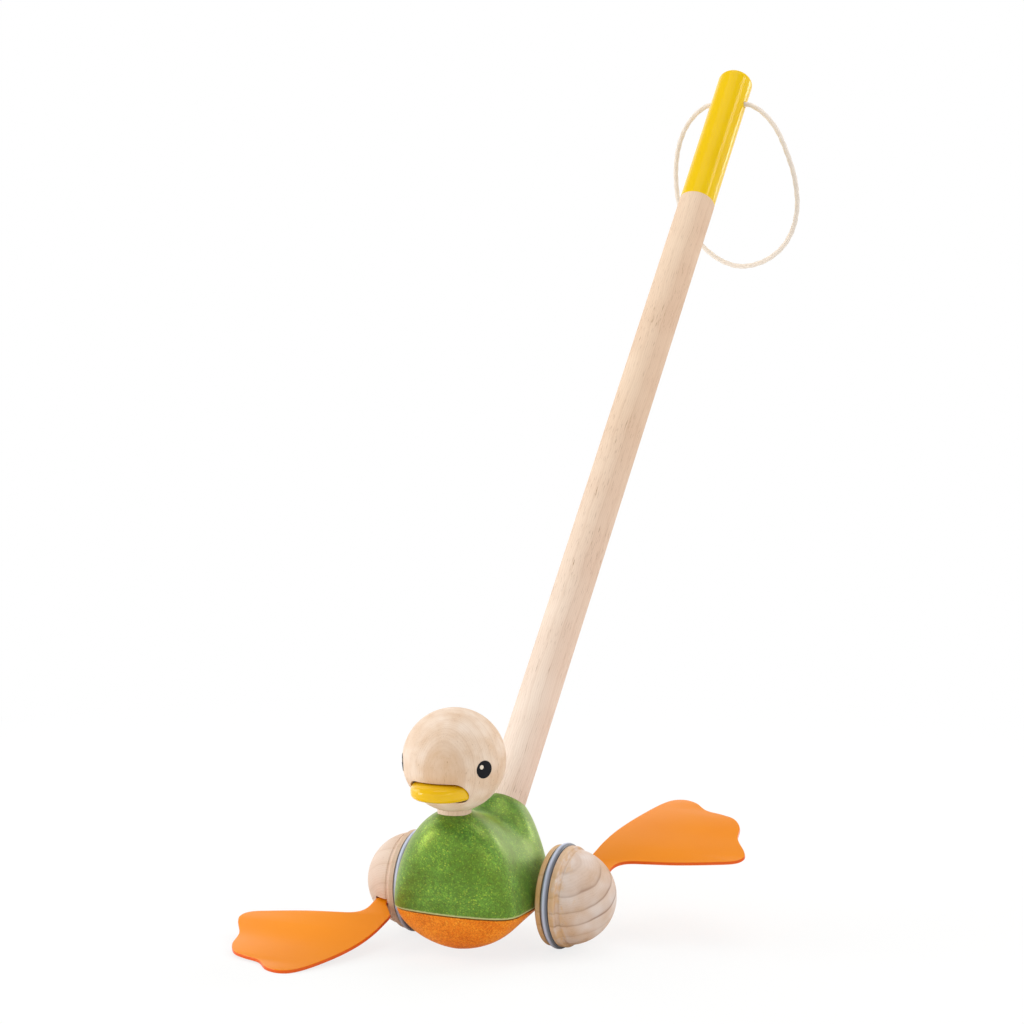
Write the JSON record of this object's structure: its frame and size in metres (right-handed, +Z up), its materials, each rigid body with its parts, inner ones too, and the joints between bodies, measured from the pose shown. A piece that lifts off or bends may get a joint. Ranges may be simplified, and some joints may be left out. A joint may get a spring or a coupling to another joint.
{
  "type": "duck push toy",
  "caption": "Wooden duck on domed wheels whose webbed rubber feet flap round as it is pushed along by a long leaning stick with a hanging loop.",
  "frame": {"origin": "on the floor under the middle of the axle", "axes": "the duck faces -Y, its own left is +X, up is +Z"},
  "size_m": [0.2466, 0.4802, 0.4763],
  "materials": {
    "green_composite": "satin, speckled pressed wood",
    "orange_composite": "satin, speckled pressed wood",
    "hidden_dowel": "bare",
    "head_wood": "sanded, satin",
    "yellow_lacquer": "gloss lacquer",
    "neck_wood": "sanded",
    "stick_wood": "sanded, satin, top end lacquered yellow",
    "cotton_cord": "twisted",
    "axle_steel": "bright",
    "washer_steel": "bright",
    "wheel_wood": "turned, satin",
    "grey_rubber": "satin",
    "foot_rubber": "matte"
  },
  "bodies": {
    "duck": {"body_upper": "green_composite", "body_lower": "orange_composite", "joining_dowels": "hidden_dowel", "head": "head_wood", "beak": "yellow_lacquer", "neck_dowel": "neck_wood", "handle_rod": "stick_wood", "hang_cord": "cotton_cord"},
    "wheelset": {"axle": "axle_steel", "washer_left": "washer_steel", "washer_right": "washer_steel", "wheel_left": "wheel_wood", "wheel_right": "wheel_wood", "tyre_left": "grey_rubber", "tyre_right": "grey_rubber", "foot_left": "foot_rubber", "foot_right": "foot_rubber"}
  },
  "joints": [
    {"name": "axle_spin", "type": "hinge", "parent": "duck", "child": "wheelset", "pos_m": [0, 0, 0.0275], "axis": [1, 0, 0], "continuous": true}
  ]
}
